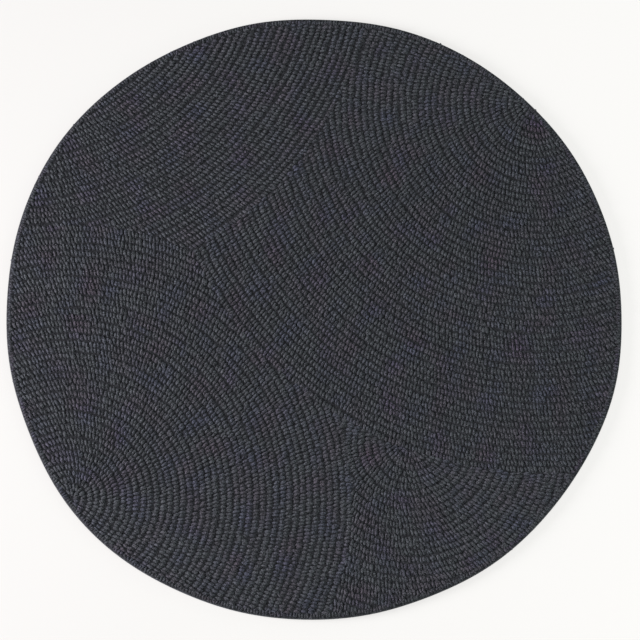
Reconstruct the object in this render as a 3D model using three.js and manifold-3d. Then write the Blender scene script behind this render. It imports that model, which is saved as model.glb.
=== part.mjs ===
// A round hand-tufted wool rug, 1.2 m across, lying flat on the floor.
// It is one piece: a cloth back with looped wool yarn tufted through it, so it is one solid.
// The loops stand in rows. The rows are arcs of circles in four fans, which meet in curved seams.
// Each row is a low rib, at the rows' real pitch, and the pile rounds over at the rim.
// Millimetres, +Z up. The origin is the middle of the underside, with +X to the right.

import * as THREE from "three";
import { mergeVertices } from "three/addons/utils/BufferGeometryUtils.js";
import Module from "manifold-3d";

const wasm = await Module();
wasm.setup();

// Driving dimensions.
const rugRadius = 600;
const rowTop = 15;
const grooveDepth = 3;

// The cloth under the rows lies just below their grooves. The rows' own solids start lower than the
// floor and reach a little under each other, and the rug's body trims them.
const grooveLevel = rowTop - grooveDepth;
const clothLevel = grooveLevel - 0.5;
const bodyTop = rowTop + 0.5;
const startLevel = -2;
const seamLap = 1;

// The rug was cut and finished by hand, so its outline is a little uneven: waves round the rim,
// each with its number per turn, its height and the direction in which it first peaks.
const outlineWaves = [
  { perTurn: 3, height: 1.8, peakDeg: 9 },
  { perTurn: 4, height: 2.3, peakDeg: 53 },
  { perTurn: 5, height: 1.1, peakDeg: 3 },
  { perTurn: 6, height: 0.4, peakDeg: 42 },
  { perTurn: 9, height: 1.0, peakDeg: 26 },
  { perTurn: 12, height: 0.5, peakDeg: 11 },
  { perTurn: 16, height: 0.3, peakDeg: 10 },
];

// The rim's section, from the edge of the cloth back up over the outermost loops. Each point is an
// inset from the outline and a height. The last point is above the rows, so it trims nothing there.
const rimSection = [
  { inset: 4, height: 0 },
  { inset: 0, height: 4 },
  { inset: 1, height: 9 },
  { inset: 5, height: grooveLevel },
  { inset: 16, height: bodyTop },
];

// Each fan of rows: the centre of its arcs, the radius of its outermost groove, the radius inside
// which the rug has none of it, the rows' pitch, and the fans that were tufted over it.
const fans = {
  upperLeft: { x: -595, y: 750, reach: 718, from: 340, pitch: 12.1, over: ["lowerLeft"] },
  right: { x: 440, y: 425, reach: 740, from: 0, pitch: 12.6, over: ["upperLeft"] },
  lowerLeft: { x: -470, y: -365, reach: 545, from: 0, pitch: 12.8, over: ["right"] },
  lowerRight: { x: 190, y: -255, reach: 415, from: 0, pitch: 12.9, over: ["right", "lowerLeft"] },
};

// The number of sides in a full turn: of the outline, and of the rows by their radius, so that a
// small row has fewer sides than a large one. Each number divides the next.
const outlineSides = 90;
const rowBands = [
  { upTo: 100, sides: 12 },
  { upTo: 320, sides: 24 },
  { upTo: Infinity, sides: 48 },
];
const largestRowSides = rowBands.at(-1).sides;
const cornerSlack = 0.01;

function outlineAt(angle) {
  const degrees = THREE.MathUtils.radToDeg(angle);
  let radius = rugRadius;
  for (const wave of outlineWaves) {
    const turn = THREE.MathUtils.degToRad(wave.perTurn * (degrees - wave.peakDeg));
    radius += wave.height * Math.cos(turn);
  }
  return radius;
}

// A closed geometry as a solid, without the triangles that have shrunk to a line.
function toSolid(geometry) {
  geometry.deleteAttribute("normal");
  geometry.deleteAttribute("uv");
  const merged = mergeVertices(geometry, 1e-4);
  const index = merged.getIndex().array;
  const triangles = [];
  for (let i = 0; i < index.length; i += 3) {
    const corners = index.slice(i, i + 3);
    if (new Set(corners).size === 3) {
      triangles.push(...corners);
    }
  }
  const mesh = new wasm.Mesh({
    numProp: 3,
    vertProperties: new Float32Array(merged.getAttribute("position").array),
    triVerts: new Uint32Array(triangles),
  });
  return new wasm.Manifold(mesh);
}

function toGeometry(solid) {
  const mesh = solid.getMesh();
  const geometry = new THREE.BufferGeometry();
  geometry.setAttribute("position", new THREE.BufferAttribute(new Float32Array(mesh.vertProperties), 3));
  geometry.setIndex(new THREE.BufferAttribute(new Uint32Array(mesh.triVerts), 1));
  geometry.computeVertexNormals();
  return geometry;
}

// A section of [radius, height] points turned about the Z axis. The points run up the outside
// and come back inwards over the top.
function turned(section, sides) {
  const points = section.map(([radius, height]) => new THREE.Vector2(radius, height));
  const geometry = new THREE.LatheGeometry(points, sides);
  geometry.rotateX(Math.PI / 2);
  return geometry;
}

// The whole rug's outer form with a smooth top just above the rows, its rim following the outline.
// It is moved so that the middle of its length and width is at the origin.
function rugBody() {
  const section = [[0, 0]];
  for (const point of rimSection) {
    section.push([rugRadius - point.inset, point.height]);
  }
  section.push([0, bodyTop]);
  const geometry = turned(section, outlineSides);
  const position = geometry.getAttribute("position");
  for (let i = 0; i < position.count; i += 1) {
    const stretch = outlineAt(Math.atan2(position.getY(i), position.getX(i))) / rugRadius;
    position.setX(i, position.getX(i) * stretch);
    position.setY(i, position.getY(i) * stretch);
  }
  geometry.computeBoundingBox();
  const middle = geometry.boundingBox.getCenter(new THREE.Vector3());
  geometry.translate(-middle.x, -middle.y, 0);
  return toSolid(geometry);
}

// All the rows of a fan, from its outermost groove inwards: each row rises to its top and falls again.
// They are turned with the sides of the largest row. On a smaller row, the corners that it can do
// without are moved to the corner before them, where they merge.
function fanRows(fan) {
  const section = [
    [fan.reach, startLevel],
    [fan.reach, grooveLevel],
  ];
  let radius = fan.reach;
  while (radius - fan.pitch > fan.from) {
    section.push([radius - fan.pitch / 2, rowTop]);
    section.push([radius - fan.pitch, grooveLevel]);
    radius -= fan.pitch;
  }
  section.push([radius, startLevel]);
  section.push([fan.reach, startLevel]);
  const geometry = turned(section, largestRowSides);
  const position = geometry.getAttribute("position");
  for (let i = 0; i < position.count; i += 1) {
    const corner = new THREE.Vector2(position.getX(i), position.getY(i));
    const band = rowBands.find((each) => corner.length() <= each.upTo);
    const side = (2 * Math.PI) / band.sides;
    const kept = side * Math.floor(corner.angle() / side + cornerSlack);
    position.setX(i, corner.length() * Math.cos(kept));
    position.setY(i, corner.length() * Math.sin(kept));
  }
  return toSolid(geometry).translate([fan.x, fan.y, 0]);
}

function disc({ x, y, radius, top }) {
  const geometry = new THREE.CylinderGeometry(radius, radius, top - startLevel, largestRowSides);
  geometry.rotateX(Math.PI / 2);
  geometry.translate(x, y, (top + startLevel) / 2);
  return toSolid(geometry);
}

// Where two fans cross, the one that was tufted over the other cuts it off at its outermost groove.
function pile() {
  let solid = disc({ x: 0, y: 0, radius: rugRadius + 20, top: clothLevel });
  for (const fan of Object.values(fans)) {
    let rows = fanRows(fan);
    for (const name of fan.over) {
      const { x, y, reach } = fans[name];
      rows = rows.subtract(disc({ x, y, radius: reach - seamLap, top: bodyTop }));
    }
    solid = solid.add(rows);
  }
  return solid;
}

function rugMesh() {
  const solid = rugBody().intersect(pile());
  const wool = new THREE.MeshStandardMaterial({ color: 0x36373c, roughness: 0.95, metalness: 0 });
  const mesh = new THREE.Mesh(toGeometry(solid), wool);
  mesh.name = "rug";
  return mesh;
}

const rug = new THREE.Group();
rug.add(rugMesh());

export default rug;
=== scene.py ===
import math

import bmesh
import bpy
import numpy as np
from mathutils import Matrix, Vector


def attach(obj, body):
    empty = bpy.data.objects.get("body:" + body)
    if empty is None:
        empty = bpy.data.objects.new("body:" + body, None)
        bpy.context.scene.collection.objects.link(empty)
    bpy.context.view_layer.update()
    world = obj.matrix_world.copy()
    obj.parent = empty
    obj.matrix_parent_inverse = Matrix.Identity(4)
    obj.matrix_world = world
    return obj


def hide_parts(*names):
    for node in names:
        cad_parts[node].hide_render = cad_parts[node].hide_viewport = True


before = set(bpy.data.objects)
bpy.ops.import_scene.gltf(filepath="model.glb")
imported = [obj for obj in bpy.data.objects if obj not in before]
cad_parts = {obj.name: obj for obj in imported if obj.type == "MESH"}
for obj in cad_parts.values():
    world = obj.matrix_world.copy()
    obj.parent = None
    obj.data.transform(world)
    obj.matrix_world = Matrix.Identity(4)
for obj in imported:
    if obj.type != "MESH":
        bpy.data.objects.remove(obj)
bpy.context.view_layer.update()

# A round rug of dark wool loop pile, 1.2 m across, lying on a pale floor.
# Its loops stand in rows. The rows are arcs of circles in four fans, which meet in curved seams.
# Metres, +Z up. The origin is the middle of the underside, with +X to the right.

draw = np.random.default_rng(41)  # every random number below comes from here, in order

# The outline. The rug was cut by hand, so it is a little uneven: waves round the rim.
outline = {
    "radius": 0.600,
    "waves": [  # number per turn, height, direction of the first peak
        (3, 0.0018, 9),
        (4, 0.0023, 53),
        (5, 0.0011, 3),
        (6, 0.0004, 42),
        (9, 0.0010, 26),
        (12, 0.0005, 11),
        (16, 0.0003, 10),
    ],
    "corners": 90,  # by which its length and width are measured
}


def outlineRadius(angle):
    radius = np.full_like(angle, outline["radius"])
    for perTurn, height, peakDeg in outline["waves"]:
        radius += height * np.cos(perTurn * (angle - math.radians(peakDeg)))
    return radius


# The point that the outline runs round. The middle of its length and width is at the origin.
def findOutlineCentre():
    angle = np.linspace(0, 2 * math.pi, outline["corners"], endpoint=False)
    x = outlineRadius(angle) * np.cos(angle)
    y = outlineRadius(angle) * np.sin(angle)
    return -(x.max() + x.min()) / 2, -(y.max() + y.min()) / 2


centreX, centreY = findOutlineCentre()


# How far in from the outline a point is.
def insetOf(x, y):
    angle = np.arctan2(y - centreY, x - centreX)
    return outlineRadius(angle) - np.hypot(x - centreX, y - centreY)


# Random numbers about zero.
def scatter(amount, count):
    return amount * draw.standard_normal(count)


# Smooth random numbers along a row, one for each place on it. They change over the given distance.
def drift(places, distance):
    knots = draw.standard_normal(int(places.max() / distance) + 3)
    return np.interp(places / distance, np.arange(len(knots)), knots)


# The fans of rows. Each has the centre of its arcs, the radius of its outermost groove, the radius
# inside which the rug has none of it, the rows' pitch, and the fans that were tufted over it.
# Its loops stand one spacing apart along a row and lie across it, turned by slantDeg. slantSwingDeg
# is added to that where the rows run from left to right, and taken off where they run up and down.
# The loops' length is a share of the pitch, so that the rows lock into each other, and their width
# is a share of the spacing. Their ends bend down by bend.
fans = {
    "upperLeft": {
        "x": -0.595, "y": 0.750, "reach": 0.718, "start": 0.340, "pitch": 0.0121,
        "over": ["lowerLeft"], "spacing": 0.00707, "unevenness": 0.04,
        "slantDeg": 26.5, "slantSwingDeg": -2.5, "length": 1.23, "width": 0.95, "bend": 0.0033,
    },
    "right": {
        "x": 0.440, "y": 0.425, "reach": 0.740, "start": 0.0, "pitch": 0.0126,
        "over": ["upperLeft"], "spacing": 0.00694, "unevenness": 0.035,
        "slantDeg": 16.5, "slantSwingDeg": 4, "length": 1.24, "width": 0.99, "bend": 0.0029,
    },
    "lowerLeft": {
        "x": -0.470, "y": -0.365, "reach": 0.545, "start": 0.0, "pitch": 0.0128,
        "over": ["right"], "spacing": 0.00705, "unevenness": 0.06,
        "slantDeg": 17, "slantSwingDeg": 6, "length": 1.26, "width": 1.01, "bend": 0.0028,
    },
    "lowerRight": {
        "x": 0.190, "y": -0.255, "reach": 0.415, "start": 0.0, "pitch": 0.0129,
        "over": ["right", "lowerLeft"], "spacing": 0.00685, "unevenness": 0.06,
        "slantDeg": 19, "slantSwingDeg": 4, "length": 1.28, "width": 1.03, "bend": 0.0022,
    },
}

# What the rows of all fans have in common.
rows = {
    "closest": 0.75,  # limits of the uneven step from loop to loop, as shares of the spacing
    "widest": 1.35,
    "smallest": 0.25,  # least radius of a row, as a share of the pitch
    "bigShare": 0.006,  # loops with more yarn in them
    "bigSize": 1.35,
    "wander": 0.0009,  # how far a row strays from its arc
    "wanderOver": 0.05,  # and the distance over which it does
    "lightOver": 0.06,  # distance over which a row's yarn gets lighter or darker
    "seamGap": -0.0016,  # how far a fan's last loops stay clear of the fan over it; below 0 they reach in
    "rimGap": 0.0092,  # how far all loops but the rim's own stay in from the outline
}


# The loops of one fan, row by row, in columns: x and y, the direction across the row, the step along
# it, how light the yarn is there, and whether the loop has more yarn in it.
def fanLoops(fan):
    columns = []
    radius = fan["reach"] - fan["pitch"] / 2
    while radius > max(fan["start"], fan["pitch"] * rows["smallest"]):
        around = 2 * math.pi * radius
        count = max(round(around / fan["spacing"]), 1)
        step = np.clip(1 + scatter(fan["unevenness"], count), rows["closest"], rows["widest"])
        big = draw.random(count) < rows["bigShare"]
        step[big] *= rows["bigSize"]
        step *= around / step.sum()
        run = np.cumsum(step) - step / 2
        angle = run / radius + draw.random() * 2 * math.pi
        strayed = radius + rows["wander"] * drift(run, rows["wanderOver"])
        x = fan["x"] + strayed * np.cos(angle)
        y = fan["y"] + strayed * np.sin(angle)
        columns.append(np.stack([x, y, angle, step, drift(run, rows["lightOver"]), big]))
        radius -= fan["pitch"]
    return np.concatenate(columns, axis=1)


# The loops that are left of a fan inside the outline and outside the fans that lie over it.
def keepInside(fan, columns):
    x, y = columns[:2]
    keep = insetOf(x, y) > rows["rimGap"]
    for name in fan["over"]:
        other = fans[name]
        keep &= np.hypot(x - other["x"], y - other["y"]) > other["reach"] + rows["seamGap"]
    return columns[:, keep]


# The yarn's colours. Each loop is a little lighter or darker than the next, and soft blotches of the
# wool lean to plum or to blue.
colours = {
    "lightSpread": 0.07,  # from loop to loop
    "runSpread": 0.035,  # along a row
    "waves": 40,  # waves that make up the blotches
    "waveSizes": (0.6, 1.7),  # from the shortest to the longest, as shares of the blotches' size
    "plumSize": 0.085,
    "plum": (0.048, -0.033, 0.008),  # more or less red, green and blue
    "blueSize": 0.070,
    "blue": (-0.015, -0.015, 0.065),
    "blotchShare": 0.3,  # more makes the blotches cover more of the rug
}


# How strong the blotches are at each point, from waves in random directions. Between them it is 0.
def blotches(x, y, size):
    waves = colours["waves"]
    direction = draw.random(waves) * 2 * math.pi
    turns = 2 * math.pi / (size * draw.uniform(*colours["waveSizes"], waves))
    phase = draw.random(waves) * 2 * math.pi
    reach = x[:, None] * np.cos(direction) + y[:, None] * np.sin(direction)
    field = math.sqrt(2 / waves) * np.cos(reach * turns + phase).sum(1)
    return np.maximum(field + colours["blotchShare"], 0)


# Each loop's own colour, as a share of the wool's.
def toneOf(x, y, light):
    bright = 1 + scatter(colours["lightSpread"], len(x)) + colours["runSpread"] * light
    plum = blotches(x, y, colours["plumSize"])
    blue = blotches(x, y, colours["blueSize"])
    tint = 1 + plum[:, None] * np.array(colours["plum"]) + blue[:, None] * np.array(colours["blue"])
    return bright[:, None] * tint


# The loops of the fans. Their tops are level. A spread is how far something usually strays.
loops = {
    "perPiece": 3000,  # a fan with more loops is made in several pieces
    "top": 0.0150,
    "height": 0.0084,  # of the yarn, from its top to its flattened underside
    "underside": 0.6,  # depth of the yarn's lower half, as a share of its upper half's
    "lumps": 0.10,  # unevenness of the yarn's own surface
    "floorGap": 0.0002,  # no loop reaches lower than this
    "rootDepth": 0.0070,  # how far below its top the painted root shade is darkest
    "shift": 0.0005,  # how far loops stray from their places
    "swingFromDeg": 80,  # direction across a row at which slantSwingDeg is added in full
    "slantSpreadDeg": 5,
    "leanSpreadDeg": 5,
    "lengthSpread": 0.09,
    "widthSpread": 0.05,
    "bendSpread": 0.15,
    "spreadLimit": 2.2,  # lengths, widths and bends stray by no more than so many spreads
    "riseSpread": 0.0004,
    "bigRise": 0.0005,  # how much higher a loop with more yarn stands
    "taperSpread": 0.10,
    "curlSpread": 0.0004,
}


# A table says of every loop: the place of its top, how steeply the pile falls there and where to, the
# heading of its yarn, its sizes, how far its ends bend down, how much it narrows towards one end and
# curls to one side, how far it rolls and rears, how its plies are shifted, and its colour.
def loopTable(fan, columns):
    x, y, angle, step, light, big = columns
    count = len(x)
    lean = math.radians(loops["leanSpreadDeg"])
    limit = loops["spreadLimit"]

    def spread(amount):
        return 1 + amount * np.clip(draw.standard_normal(count), -limit, limit)

    x = x + scatter(loops["shift"], count)
    y = y + scatter(loops["shift"], count)
    swing = fan["slantSwingDeg"] * np.cos(2 * (angle - math.radians(loops["swingFromDeg"])))
    slant = fan["slantDeg"] + swing + scatter(loops["slantSpreadDeg"], count)
    return {
        "x": x,
        "y": y,
        "z": loops["top"] + scatter(loops["riseSpread"], count) + loops["bigRise"] * big,
        "fall": np.zeros(count),
        "outward": angle,
        "heading": angle + np.radians(slant),
        "length": fan["pitch"] * fan["length"] * spread(loops["lengthSpread"]),
        "width": step * fan["width"] * spread(loops["widthSpread"]),
        "height": loops["height"] * spread(loops["widthSpread"]),
        "bend": fan["bend"] * spread(loops["bendSpread"]),
        "taper": scatter(loops["taperSpread"], count),
        "curl": scatter(loops["curlSpread"], count),
        "roll": scatter(lean, count),
        "rear": scatter(lean, count),
        "yarnShift": draw.random(count),
        "toneAndShade": toneOf(x, y, light),
    }


# The loops along the rim. They stand close together, in rings down the slope, and lie less evenly. The
# lower rings are painted darker, as painted shade down the slope.
rimLoops = {
    "rings": [  # inset, height and fall of each ring, and its loops' length and light, which is painted shade
        (0.0055, 0.0147, 8, 0.0108, 0.92),
        (0.0032, 0.0122, 42, 0.0100, 0.74),
        (0.0010, 0.0072, 78, 0.0104, 0.72),
    ],
    "spacing": 0.0058,
    "unevenness": 0.07,
    "closest": 0.7,  # limits of the uneven step from loop to loop, as shares of the spacing
    "widest": 1.4,
    "insetSpread": 0.0004,
    "riseSpread": 0.0006,
    "slantSpreadDeg": 12,
    "leanSpreadDeg": 8,
    "lengthSpread": 0.10,
    "widthSpread": 0.08,
    "height": 0.9,  # a share of the other loops' height
    "heightSpread": 0.10,
    "bend": 0.0016,
    "taperSpread": 0.12,
    "curlSpread": 0.0008,
    "lightOver": 0.06,
}


def rimTable():
    around = 2 * math.pi * outline["radius"]
    count = round(around / rimLoops["spacing"])
    lean = math.radians(rimLoops["leanSpreadDeg"])
    tables = []
    for inset, rise, fallDeg, length, shade in rimLoops["rings"]:
        step = np.clip(
            1 + scatter(rimLoops["unevenness"], count), rimLoops["closest"], rimLoops["widest"]
        )
        step *= around / step.sum()
        run = np.cumsum(step)
        angle = run / outline["radius"]
        radius = outlineRadius(angle) - inset + scatter(rimLoops["insetSpread"], count)
        slant = scatter(rimLoops["slantSpreadDeg"], count)
        x = centreX + radius * np.cos(angle)
        y = centreY + radius * np.sin(angle)
        tables.append({
            "x": x,
            "y": y,
            "z": rise + scatter(rimLoops["riseSpread"], count),
            "fall": np.full(count, math.radians(fallDeg)),
            "outward": angle,
            "heading": angle + np.radians(slant),
            "length": length * (1 + scatter(rimLoops["lengthSpread"], count)),
            "width": step * (1 + scatter(rimLoops["widthSpread"], count)),
            "height": loops["height"] * (rimLoops["height"] + scatter(rimLoops["heightSpread"], count)),
            "bend": np.full(count, rimLoops["bend"]),
            "taper": scatter(rimLoops["taperSpread"], count),
            "curl": scatter(rimLoops["curlSpread"], count),
            "roll": scatter(lean, count),
            "rear": scatter(lean, count),
            "yarnShift": draw.random(count),
            # Each ring's light is painted shade, darker down the slope.
            "toneAndShade": shade * toneOf(x, y, drift(run, rimLoops["lightOver"])),
        })
    return {key: np.concatenate([table[key] for table in tables]) for key in tables[0]}


# Faces in an order that is the same each time. Some operators make them in a different one each run.
def sortFaces(shape):
    shape.verts.index_update()

    def placeOf(face):
        place = 0
        for index in sorted(vert.index for vert in face.verts):
            place = place * len(shape.verts) + index
        return place

    shape.faces.sort(key=placeOf)


# The yarn of one loop is a bead with its ends along X, flattened underneath, where it is pressed into
# the cloth. The seam of its unwrapping is there too.
bead = {
    "around": 8,  # faces round the yarn
    "along": 5,  # and from end to end
    "cellMargin": 0.06,  # free edge of its cell in the unwrapping, as a share of the cell
}


def loopTemplate():
    yarn = bmesh.new()
    yarn.loops.layers.uv.new("OFBake")
    laid = Matrix.Rotation(math.pi, 4, "X") @ Matrix.Rotation(math.pi / 2, 4, "Y")
    bmesh.ops.create_uvsphere(
        yarn, u_segments=bead["around"], v_segments=bead["along"], radius=1, matrix=laid, calc_uvs=True
    )
    lower = [vert for vert in yarn.verts if vert.co.z < 0]
    bmesh.ops.scale(yarn, verts=lower, vec=(1, 1, loops["underside"]))
    sortFaces(yarn)
    uvs = yarn.loops.layers.uv["OFBake"]
    template = {
        "verts": np.array([vert.co[:] for vert in yarn.verts]),
        "corners": np.array([vert.index for face in yarn.faces for vert in face.verts]),
        "sizes": np.array([len(face.verts) for face in yarn.faces]),
        "uvs": np.array([corner[uvs].uv[:] for face in yarn.faces for corner in face.loops]),
    }
    yarn.free()
    return template


# Level directions, from their angles.
def compass(angle):
    return np.stack([np.cos(angle), np.sin(angle), np.zeros(len(angle))], 1)


# Each loop's own axes: along the yarn, sideways, and out of the pile. They lean with the slope at the
# rim, and every loop rolls and rears a little.
def loopAxes(table):
    fall, roll, rear = (table[key][:, None] for key in ("fall", "roll", "rear"))
    sky = np.array([[0.0, 0.0, 1.0]])
    outward = compass(table["outward"])
    heading = compass(table["heading"])
    out = np.sin(fall) * outward + np.cos(fall) * sky
    downhill = np.cos(fall) * outward - np.sin(fall) * sky
    radial = (heading * outward).sum(1)[:, None]
    along = heading - radial * outward + radial * downhill
    out = out + roll * np.cross(out, along) + rear * along
    out /= np.linalg.norm(out, axis=1)[:, None]
    along = along - (along * out).sum(1)[:, None] * out
    along /= np.linalg.norm(along, axis=1)[:, None]
    return along, np.cross(out, along), out


# The points of all the loops, and how far each is below the top of its own loop.
def loopPoints(table, template):
    length, width, height, bend, taper, curl = (
        table[key][:, None] for key in ("length", "width", "height", "bend", "taper", "curl")
    )
    along, side, up = (template["verts"][:, axis][None, :] for axis in range(3))
    thickness = height / (1 + loops["underside"])
    narrowed = 1 + taper * along
    lumps = 1 + loops["lumps"] * draw.standard_normal((len(height), along.size))
    forward = length / 2 * along
    sideways = (width / 2 * side * narrowed + curl * along**2) * lumps
    upward = thickness * (up - 1) * narrowed - bend * along**2 + thickness * up * (lumps - 1)

    points = np.stack([table["x"], table["y"], table["z"]], 1)[:, None, :]
    for distance, axis in zip((forward, sideways, upward), loopAxes(table)):
        points = points + distance[:, :, None] * axis[:, None, :]
    points[:, :, 2] = np.maximum(points[:, :, 2], loops["floorGap"])
    return points, -upward


# Many copies of the bead as one mesh. Each copy has its own form, its own colour, and its own cell of
# the unwrapping.
def buildPile(name, table, template, material):
    count = len(table["x"])
    points, depth = loopPoints(table, template)
    vertCount = len(template["verts"])
    corners = template["corners"][None, :] + vertCount * np.arange(count)[:, None]
    starts = np.cumsum(template["sizes"]) - template["sizes"]
    starts = starts[None, :] + len(template["corners"]) * np.arange(count)[:, None]

    mesh = bpy.data.meshes.new(name)
    mesh.vertices.add(count * vertCount)
    mesh.vertices.foreach_set("co", points.ravel())
    mesh.loops.add(corners.size)
    mesh.loops.foreach_set("vertex_index", corners.ravel())
    mesh.polygons.add(starts.size)
    mesh.polygons.foreach_set("loop_start", starts.ravel())
    mesh.update(calc_edges=True)
    mesh.polygons.foreach_set("use_smooth", np.ones(starts.size, bool))

    cells = math.ceil(math.sqrt(count))
    margin = bead["cellMargin"]
    cell = np.stack([np.arange(count) % cells, np.arange(count) // cells], 1) / cells
    inCell = (margin + (1 - 2 * margin) * template["uvs"]) / cells
    bakeUvs = cell[:, None, :] + inCell[None, :, :]
    mesh.uv_layers.new(name="OFBake").data.foreach_set("uv", bakeUvs.ravel())
    yarnUvs = template["uvs"][None, :, :] + table["yarnShift"][:, None, None]
    mesh.uv_layers.new(name="yarn").data.foreach_set("uv", yarnUvs.ravel())

    toneAndShade = np.ones((count, vertCount, 4))
    toneAndShade[:, :, :3] = table["toneAndShade"][:, None, :]
    # Painted shade: the alpha darkens the yarn towards its roots, where the fibres between the loops lie
    # in shade.
    toneAndShade[:, :, 3] = np.clip(1 - depth / loops["rootDepth"], 0, 1)
    mesh.color_attributes.new("toneAndShade", "FLOAT_COLOR", "POINT").data.foreach_set("color", toneAndShade.ravel())

    piece = bpy.data.objects.new(name, mesh)
    bpy.context.scene.collection.objects.link(piece)
    mesh.materials.append(material)
    print(name, count, "loops", count * (template["sizes"] - 2).sum(), "triangles")
    return piece


# The ground: the cloth back with the yarn's roots above it, and wool over its rim.
ground = {
    "steps": 240,  # sides of the outline
    "top": 0.0108,
    "section": [  # inset and height, from the edge of the back up over the rim
        (0.0024, 0.0),
        (0.0006, 0.0014),
        (-0.0004, 0.0040),
        (-0.0004, 0.0080),
        (0.0012, 0.0108),
        (0.0045, 0.0122),
        (0.0110, 0.0108),
    ],
    "merge": 1e-6,  # points closer than this become one
    "level": 0.9,  # a face whose normal is this upright or more is part of the top or the back
    "rimToneAndShade": (0.8, 0.8, 0.8, 0.5),  # the wool at the rim: its light, and how far it is from its roots, which sets its painted root shade
}


# The section is turned about the middle and then pushed out to the uneven outline.
def buildGround(roots, cloth, wool):
    profile = [(0.0, 0.0)]
    profile += [(outline["radius"] - inset, height) for inset, height in ground["section"]]
    profile.append((0.0, ground["top"]))
    slab = bmesh.new()
    verts = [slab.verts.new((radius, 0, height)) for radius, height in profile]
    edges = [slab.edges.new(pair) for pair in zip(verts, verts[1:])]
    bmesh.ops.spin(
        slab, geom=verts + edges, cent=(0, 0, 0), axis=(0, 0, 1), angle=2 * math.pi,
        steps=ground["steps"], use_merge=True,
    )
    bmesh.ops.remove_doubles(slab, verts=slab.verts, dist=ground["merge"])
    bmesh.ops.recalc_face_normals(slab, faces=slab.faces)
    for vert in slab.verts:
        angle = np.array([math.atan2(vert.co.y, vert.co.x)])
        stretch = outlineRadius(angle)[0] / outline["radius"]
        vert.co.x = vert.co.x * stretch + centreX
        vert.co.y = vert.co.y * stretch + centreY
    sortFaces(slab)
    mesh = bpy.data.meshes.new("rugGround")
    for material in (roots, cloth, wool):
        mesh.materials.append(material)
    for face in slab.faces:
        face.smooth = True
        if face.normal.z < -ground["level"]:
            face.material_index = 1  # the cloth
        elif face.normal.z < ground["level"]:
            face.material_index = 2  # the wool
    slab.to_mesh(mesh)
    slab.free()
    toneAndShade = np.tile(ground["rimToneAndShade"], (len(mesh.vertices), 1))
    mesh.color_attributes.new("toneAndShade", "FLOAT_COLOR", "POINT").data.foreach_set("color", toneAndShade.ravel())
    piece = bpy.data.objects.new("rugGround", mesh)
    bpy.context.scene.collection.objects.link(piece)
    return piece


def addNode(tree, kind, inputs=(), **settings):
    node = tree.nodes.new(kind)
    for key, value in settings.items():
        setattr(node, key, value)
    for key, value in dict(inputs).items():
        if isinstance(value, bpy.types.NodeSocket):
            tree.links.new(value, node.inputs[key])
        else:
            node.inputs[key].default_value = value
    return node


def newMaterial(name, settings):
    material = bpy.data.materials.new(name)
    material.use_nodes = True
    shader = material.node_tree.nodes["Principled BSDF"]
    for key, value in settings.items():
        shader.inputs[key].default_value = value
    return material, material.node_tree, shader


def addBump(tree, shader, height, strength, distance):
    bump = addNode(tree, "ShaderNodeBump", {"Height": height, "Strength": strength, "Distance": distance})
    tree.links.new(bump.outputs["Normal"], shader.inputs["Normal"])


def mapRange(tree, value, fromRange, toRange):
    inputs = {
        "Value": value,
        "From Min": fromRange[0], "From Max": fromRange[1],
        "To Min": toRange[0], "To Max": toRange[1],
    }
    return addNode(tree, "ShaderNodeMapRange", inputs).outputs["Result"]


# The yarn: matt wool with fine fibres, plied, and painted shade that darkens it towards its roots.
yarnFinish = {
    "shader": {
        "Roughness": 0.85,
        "Specular IOR Level": 0.25,
        "Sheen Weight": 0.12,
        "Sheen Roughness": 0.45,
        "Sheen Tint": (0.75, 0.8, 1.0, 1.0),
    },
    "colour": (0.0453, 0.0485, 0.0555, 1.0),
    "fibres": {"Scale": 420.0, "Detail": 1.0, "Roughness": 0.5},
    "fibreRange": (0.35, 0.65),  # the middle part of the fibre noise, where its contrast is
    "fibreLight": (0.20, 1.80),  # from the darkest fibres to the lightest, as shares of the colour
    "paintedRootShade": (0.68, 1.03),  # painted shade: the yarn's light from the roots to the top
    "twist": (0.0, 0.0, math.radians(35)),
    "ply": {"Scale": 1.1, "Distortion": 0.6, "Detail": 1.0},
    "plyShare": 0.6,  # of the relief
    "hairs": {"Scale": 1.0, "Detail": 2.0},
    "hairStretch": (48.0, 5.0, 1.0),  # hairs are long and thin
    "hairShare": 0.25,
    "relief": (0.6, 0.0018),  # strength and depth
}


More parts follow.
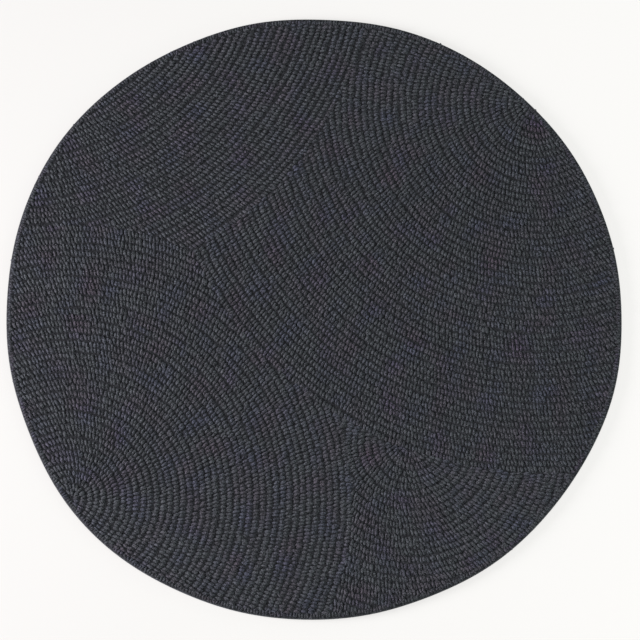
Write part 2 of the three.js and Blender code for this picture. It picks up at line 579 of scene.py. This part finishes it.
def woolMaterial():
    finish = yarnFinish
    material, tree, shader = newMaterial("woolYarn", finish["shader"])
    place = addNode(tree, "ShaderNodeTexCoord").outputs["Object"]
    toneAndShade = addNode(tree, "ShaderNodeAttribute", attribute_name="toneAndShade")
    fibres = addNode(tree, "ShaderNodeTexNoise", {"Vector": place, **finish["fibres"]}).outputs["Fac"]
    fibreLight = mapRange(tree, fibres, finish["fibreRange"], finish["fibreLight"])
    # The attribute's alpha darkens the yarn towards its roots: painted shade.
    paintedRootShade = mapRange(tree, toneAndShade.outputs["Alpha"], (0.0, 1.0), finish["paintedRootShade"])
    light = addNode(tree, "ShaderNodeMath", {0: fibreLight, 1: paintedRootShade}, operation="MULTIPLY")
    # Sockets 6 and 7 of a colour mix are its two colours.
    dyed = addNode(
        tree, "ShaderNodeMix", {"Factor": 1.0, 6: toneAndShade.outputs["Color"], 7: finish["colour"]},
        data_type="RGBA", blend_type="MULTIPLY",
    )
    colour = addNode(
        tree, "ShaderNodeVectorMath", {0: dyed.outputs[2], "Scale": light.outputs[0]}, operation="SCALE"
    )
    tree.links.new(colour.outputs[0], shader.inputs["Base Color"])

    # The plies and the hairs run round the yarn at a slant.
    yarnUv = addNode(tree, "ShaderNodeUVMap", uv_map="yarn").outputs["UV"]
    twisted = addNode(
        tree, "ShaderNodeMapping", {"Vector": yarnUv, "Rotation": finish["twist"]}
    ).outputs["Vector"]
    ply = addNode(tree, "ShaderNodeTexWave", {"Vector": twisted, **finish["ply"]}).outputs["Fac"]
    relief = addNode(
        tree, "ShaderNodeMath", {0: ply, 1: finish["plyShare"], 2: fibres}, operation="MULTIPLY_ADD"
    ).outputs[0]
    stretched = addNode(
        tree, "ShaderNodeMapping", {"Vector": twisted, "Scale": finish["hairStretch"]}
    ).outputs["Vector"]
    hairs = addNode(tree, "ShaderNodeTexNoise", {"Vector": stretched, **finish["hairs"]}).outputs["Fac"]
    relief = addNode(
        tree, "ShaderNodeMath", {0: hairs, 1: finish["hairShare"], 2: relief}, operation="MULTIPLY_ADD"
    ).outputs[0]
    addBump(tree, shader, relief, *finish["relief"])
    return material


# The roots of the yarn between the loops, painted much darker than the yarn itself: painted shade between
# the loops.
rootFinish = {
    "shader": {"Roughness": 1.0, "Specular IOR Level": 0.1},
    "fibres": {"Scale": 400.0, "Detail": 4.0},
    "colours": [  # place in the fibre noise, and colour; the dark colours are painted shade
        (0.35, (0.0095, 0.0095, 0.0115, 1)),
        (0.7, (0.042, 0.0435, 0.050, 1)),
    ],
    "relief": (0.8, 0.001),
}

# The back: a plain woven cloth.
backFinish = {
    "shader": {"Roughness": 0.9},
    "threads": {"Scale": 110.0, "Distortion": 0.4},
    "colours": [  # place between the threads and on them, and colour
        (0.0, (0.10, 0.095, 0.09, 1)),
        (1.0, (0.22, 0.21, 0.195, 1)),
    ],
    "relief": (0.5, 0.0006),
}


def addRamp(tree, shader, value, stops):
    ramp = addNode(tree, "ShaderNodeValToRGB", {"Fac": value})
    for element, (position, colour) in zip(ramp.color_ramp.elements, stops):
        element.position = position
        element.color = colour
    tree.links.new(ramp.outputs["Color"], shader.inputs["Base Color"])


def rootMaterial():
    material, tree, shader = newMaterial("yarnRoots", rootFinish["shader"])
    place = addNode(tree, "ShaderNodeTexCoord").outputs["Object"]
    fibres = addNode(tree, "ShaderNodeTexNoise", {"Vector": place, **rootFinish["fibres"]}).outputs["Fac"]
    addRamp(tree, shader, fibres, rootFinish["colours"])
    addBump(tree, shader, fibres, *rootFinish["relief"])
    return material


def backMaterial():
    material, tree, shader = newMaterial("backCloth", backFinish["shader"])
    place = addNode(tree, "ShaderNodeTexCoord").outputs["Object"]
    threads = {"Vector": place, **backFinish["threads"]}
    warp = addNode(tree, "ShaderNodeTexWave", threads, bands_direction="X").outputs["Fac"]
    weft = addNode(tree, "ShaderNodeTexWave", threads, bands_direction="Y").outputs["Fac"]
    weave = addNode(tree, "ShaderNodeMath", {0: warp, 1: weft}, operation="MULTIPLY").outputs[0]
    addRamp(tree, shader, weave, backFinish["colours"])
    addBump(tree, shader, weave, *backFinish["relief"])
    return material


# The rug
template = loopTemplate()
wool = woolMaterial()
rugGround = buildGround(rootMaterial(), backMaterial(), wool)
print("ground made")

pile = []
for fanName, fan in fans.items():
    columns = keepInside(fan, fanLoops(fan))
    parts = np.array_split(columns, math.ceil(columns.shape[1] / loops["perPiece"]), axis=1)
    for number, part in enumerate(parts, start=1):
        pieceName = "pile" + fanName[0].upper() + fanName[1:] + str(number)
        pile.append(buildPile(pieceName, loopTable(fan, part), template, wool))
pile.append(buildPile("pileRim", rimTable(), template, wool))

for piece in [rugGround, *pile]:
    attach(piece, "root")
    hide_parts("rug")
print("rug made")

# The floor and the light
studio = {
    "floorSize": 20,  # half its width
    "floorDrop": 0.0004,  # how far it lies below the rug
    "floorShader": {
        "Base Color": (0.20, 0.197, 0.194, 1.0),
        "Roughness": 1.0,
        "Specular IOR Level": 0.0,
        "Emission Color": (1.0, 0.985, 0.970, 1.0),
    },
    "floorGlow": (0.690, 0.758),  # at the left of the rug and at the right, where the key lamp gives less
    "floorReach": 0.62,  # how far out those two places are
    "fillColour": (1.0, 0.99, 0.98, 1.0),
    "fill": 0.28,
    "lamps": {  # power, size, place and colour of each soft round lamp
        "key": (195.0, 1.6, (-3.25, -0.28, 1.38), (1.0, 0.972, 0.995)),
        "overhead": (8.0, 2.0, (0.4, -0.5, 2.3), (1.0, 1.0, 1.0)),
        "front": (21.0, 1.6, (1.9, -1.5, 1.2), (0.86, 1.0, 0.92)),
        "back": (19.0, 1.6, (1.9, 1.5, 1.2), (0.86, 1.0, 0.92)),
    },
}


def buildFloor():
    sheet = bmesh.new()
    bmesh.ops.create_grid(sheet, x_segments=1, y_segments=1, size=studio["floorSize"])
    bmesh.ops.translate(sheet, verts=sheet.verts, vec=(0, 0, -studio["floorDrop"]))
    mesh = bpy.data.meshes.new("floor")
    sheet.to_mesh(mesh)
    sheet.free()
    floor = bpy.data.objects.new("floor", mesh)
    bpy.context.scene.collection.objects.link(floor)
    material, tree, shader = newMaterial("paleFloor", studio["floorShader"])
    place = addNode(tree, "ShaderNodeTexCoord").outputs["Object"]
    axes = addNode(tree, "ShaderNodeSeparateXYZ", {0: place})
    reach = studio["floorReach"]
    glow = mapRange(tree, axes.outputs["X"], (-reach, reach), studio["floorGlow"])
    tree.links.new(glow, shader.inputs["Emission Strength"])
    mesh.materials.append(material)


def aimAt(thing, place, target):
    thing.location = place
    thing.rotation_euler = (Vector(target) - Vector(place)).to_track_quat("-Z", "Y").to_euler()


def addLights():
    world = bpy.data.worlds.new("studio")
    bpy.context.scene.world = world
    world.use_nodes = True
    backdrop = world.node_tree.nodes["Background"]
    backdrop.inputs["Color"].default_value = studio["fillColour"]
    backdrop.inputs["Strength"].default_value = studio["fill"]

    for name, (power, size, place, colour) in studio["lamps"].items():
        lamp = bpy.data.lights.new(name, "AREA")
        lamp.shape = "DISK"
        lamp.size = size
        lamp.energy = power
        lamp.color = colour
        holder = bpy.data.objects.new(name, lamp)
        holder.visible_camera = False
        bpy.context.scene.collection.objects.link(holder)
        aimAt(holder, place, (0, 0, 0))


# The camera
camera = {
    "elevationDeg": 77.15,
    "distance": 8.5,
    "frameWidth": 1.2446,  # of the picture, at the rug
    "aim": (0.0116, -0.0087, 0.0),
    "sensorWidth": 36,
    "clipEnd": 100,
}


def addCamera():
    view = bpy.data.cameras.new("camera")
    view.sensor_width = camera["sensorWidth"]
    view.lens = view.sensor_width * camera["distance"] / camera["frameWidth"]
    view.clip_end = camera["clipEnd"]
    holder = bpy.data.objects.new("camera", view)
    bpy.context.scene.collection.objects.link(holder)
    elevation = math.radians(camera["elevationDeg"])
    aim = Vector(camera["aim"])
    back = Vector((0, -math.cos(elevation), math.sin(elevation)))
    aimAt(holder, aim + camera["distance"] * back, aim)
    bpy.context.scene.camera = holder


buildFloor()
addLights()
addCamera()
bpy.context.scene.view_settings.view_transform = "Standard"
print("studio made")
